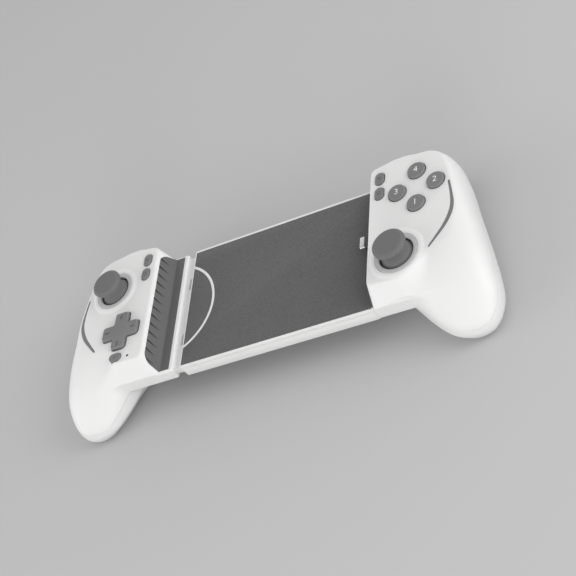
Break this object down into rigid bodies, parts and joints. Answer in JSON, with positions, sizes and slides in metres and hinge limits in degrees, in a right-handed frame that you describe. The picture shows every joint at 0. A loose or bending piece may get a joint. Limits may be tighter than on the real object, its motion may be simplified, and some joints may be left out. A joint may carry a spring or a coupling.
{
  "type": "telescopic phone game controller",
  "caption": "White telescopic game controller that grips a phone between a fixed and a sliding handle, with sticks, face buttons, direction pad, bumpers and triggers.",
  "frame": {"origin": "middle of the closed controller, on the plane of the flat backs of the two handles", "axes": "+X towards the handle with the plug and the face buttons, +Y towards the bumpers and triggers, +Z out of the control faces towards the player"},
  "size_m": [0.2908, 0.122, 0.0505],
  "materials": {
    "white_plastic": "fine satin moulded skin",
    "pale_plastic": "satin",
    "control_grey": "satin with white print",
    "dark_plastic": "matt",
    "stick_rubber": "soft matt",
    "liner_rubber": "soft matt, grooved",
    "pad_rubber": "fine texture",
    "mat_rubber": "soft",
    "steel": "bright drawn and stamped metal",
    "board_laminate": "solder mask",
    "cable_film": "flexible film",
    "light_plastic": "clear tinted"
  },
  "bodies": {
    "base": {"right_front_shell": "white_plastic", "right_rear_shell": "white_plastic", "right_clamp_liner": "liner_rubber", "right_accent_strip": "control_grey", "right_stick_ring": "pale_plastic", "right_stick_frame": "steel", "right_board": "board_laminate", "right_key_mat": "mat_rubber", "right_shoulder_bracket": "pale_plastic", "right_trigger_pin": "steel", "right_trigger_spring": "steel", "right_screws": "steel", "usb_plug": "steel", "usb_plug_boot": "dark_plastic", "tray_upper": "white_plastic", "tray_lower": "white_plastic", "tray_pad": "pad_rubber", "tray_ring": "white_plastic", "tray_screws": "steel", "return_springs": "steel", "flex_cable": "cable_film"},
    "left_handle": {"left_front_shell": "white_plastic", "left_rear_shell": "white_plastic", "left_clamp_liner": "liner_rubber", "left_accent_strip": "control_grey", "left_stick_ring": "pale_plastic", "left_stick_frame": "steel", "dpad_cradle": "dark_plastic", "left_light_pipe": "light_plastic", "left_board": "board_laminate", "left_key_mat": "mat_rubber", "left_shoulder_bracket": "pale_plastic", "left_trigger_pin": "steel", "left_trigger_spring": "steel", "left_screws": "steel", "slide_tongue": "white_plastic"},
    "right_stick_yoke": {"right_stick_yoke": "dark_plastic"},
    "right_stick_hub": {"right_stick_hub": "dark_plastic"},
    "right_stick_cap": {"right_stick_cap": "stick_rubber"},
    "button_top": {"button_top": "control_grey"},
    "button_right": {"button_right": "control_grey"},
    "button_bottom": {"button_bottom": "control_grey"},
    "button_left": {"button_left": "control_grey"},
    "right_upper_key": {"right_upper_key": "control_grey"},
    "right_lower_key": {"right_lower_key": "control_grey"},
    "right_bumper": {"right_bumper": "white_plastic"},
    "right_trigger": {"right_trigger": "white_plastic"},
    "left_stick_yoke": {"left_stick_yoke": "dark_plastic"},
    "left_stick_hub": {"left_stick_hub": "dark_plastic"},
    "left_stick_cap": {"left_stick_cap": "stick_rubber"},
    "dpad": {"dpad": "control_grey"},
    "dpad_pivot": {"dpad_pivot": "steel"},
    "left_upper_key": {"left_upper_key": "control_grey"},
    "left_lower_key": {"left_lower_key": "control_grey"},
    "left_menu_key": {"left_menu_key": "control_grey"},
    "left_bumper": {"left_bumper": "white_plastic"},
    "left_trigger": {"left_trigger": "white_plastic"}
  },
  "joints": [
    {"name": "handle_slide", "type": "slide", "parent": "base", "child": "left_handle", "axis": [-1, 0, 0], "range_m": [0, 0.05], "stiffness_N_per_m": 80, "springref_m": -0.05, "deforming": ["return_springs", "flex_cable"]},
    {"name": "right_stick_tilt_y", "type": "hinge", "parent": "base", "child": "right_stick_yoke", "pos_m": [0.0955, -0.017, 0.0305], "axis": [1, 0, 0], "range_deg": [-15, 15], "stiffness_Nm_per_rad": 0.04},
    {"name": "right_stick_tilt_x", "type": "hinge", "parent": "right_stick_yoke", "child": "right_stick_hub", "pos_m": [0.0955, -0.017, 0.0305], "axis": [0, 1, 0], "range_deg": [-15, 15], "stiffness_Nm_per_rad": 0.04},
    {"name": "right_stick_press", "type": "slide", "parent": "right_stick_hub", "child": "right_stick_cap", "axis": [0, 0, -1], "range_m": [0, 0.0005], "stiffness_N_per_m": 3000, "springref_m": -0.0003},
    {"name": "left_stick_tilt_y", "type": "hinge", "parent": "left_handle", "child": "left_stick_yoke", "pos_m": [-0.1065, 0.025, 0.0305], "axis": [1, 0, 0], "range_deg": [-15, 15], "stiffness_Nm_per_rad": 0.04},
    {"name": "left_stick_tilt_x", "type": "hinge", "parent": "left_stick_yoke", "child": "left_stick_hub", "pos_m": [-0.1065, 0.025, 0.0305], "axis": [0, 1, 0], "range_deg": [-15, 15], "stiffness_Nm_per_rad": 0.04},
    {"name": "left_stick_press", "type": "slide", "parent": "left_stick_hub", "child": "left_stick_cap", "axis": [0, 0, -1], "range_m": [0, 0.0005], "stiffness_N_per_m": 3000, "springref_m": -0.0003},
    {"name": "button_top_press", "type": "slide", "parent": "base", "child": "button_top", "axis": [0, 0, -1], "range_m": [0, 0.0012], "stiffness_N_per_m": 500, "springref_m": -0.0008},
    {"name": "button_right_press", "type": "slide", "parent": "base", "child": "button_right", "axis": [0, 0, -1], "range_m": [0, 0.0012], "stiffness_N_per_m": 500, "springref_m": -0.0008},
    {"name": "button_bottom_press", "type": "slide", "parent": "base", "child": "button_bottom", "axis": [0, 0, -1], "range_m": [0, 0.0012], "stiffness_N_per_m": 500, "springref_m": -0.0008},
    {"name": "button_left_press", "type": "slide", "parent": "base", "child": "button_left", "axis": [0, 0, -1], "range_m": [0, 0.0012], "stiffness_N_per_m": 500, "springref_m": -0.0008},
    {"name": "right_upper_key_press", "type": "slide", "parent": "base", "child": "right_upper_key", "axis": [0, 0, -1], "range_m": [0, 0.0007], "stiffness_N_per_m": 1200, "springref_m": -0.0005},
    {"name": "right_lower_key_press", "type": "slide", "parent": "base", "child": "right_lower_key", "axis": [0, 0, -1], "range_m": [0, 0.0007], "stiffness_N_per_m": 1200, "springref_m": -0.0005},
    {"name": "left_upper_key_press", "type": "slide", "parent": "left_handle", "child": "left_upper_key", "axis": [0, 0, -1], "range_m": [0, 0.0007], "stiffness_N_per_m": 1200, "springref_m": -0.0005},
    {"name": "left_lower_key_press", "type": "slide", "parent": "left_handle", "child": "left_lower_key", "axis": [0, 0, -1], "range_m": [0, 0.0007], "stiffness_N_per_m": 1200, "springref_m": -0.0005},
    {"name": "left_menu_key_press", "type": "slide", "parent": "left_handle", "child": "left_menu_key", "axis": [0, 0, -1], "range_m": [0, 0.0007], "stiffness_N_per_m": 1200, "springref_m": -0.0005},
    {"name": "dpad_tilt_y", "type": "hinge", "parent": "left_handle", "child": "dpad_pivot", "pos_m": [-0.0956, -0.0093, 0.0361], "axis": [1, 0, 0], "range_deg": [-4, 4], "stiffness_Nm_per_rad": 0.08},
    {"name": "dpad_tilt_x", "type": "hinge", "parent": "dpad_pivot", "child": "dpad", "pos_m": [-0.0956, -0.0093, 0.0361], "axis": [0, 1, 0], "range_deg": [-4, 4], "stiffness_Nm_per_rad": 0.08},
    {"name": "right_bumper_press", "type": "hinge", "parent": "base", "child": "right_bumper", "pos_m": [0.0895, 0.0504, 0.031], "axis": [0, 0, -1], "range_deg": [0, 2.5], "stiffness_Nm_per_rad": 0.8, "springref_deg": -2.29},
    {"name": "right_trigger_pull", "type": "hinge", "parent": "base", "child": "right_trigger", "pos_m": [0.105, 0.047, 0.022], "axis": [-1, 0, 0], "range_deg": [0, 16], "stiffness_Nm_per_rad": 0.12, "springref_deg": -14.32},
    {"name": "left_bumper_press", "type": "hinge", "parent": "left_handle", "child": "left_bumper", "pos_m": [-0.0895, 0.0504, 0.031], "axis": [0, 0, 1], "range_deg": [0, 2.5], "stiffness_Nm_per_rad": 0.8, "springref_deg": -2.29},
    {"name": "left_trigger_pull", "type": "hinge", "parent": "left_handle", "child": "left_trigger", "pos_m": [-0.105, 0.047, 0.022], "axis": [-1, 0, 0], "range_deg": [0, 16], "stiffness_Nm_per_rad": 0.12, "springref_deg": -14.32}
  ]
}
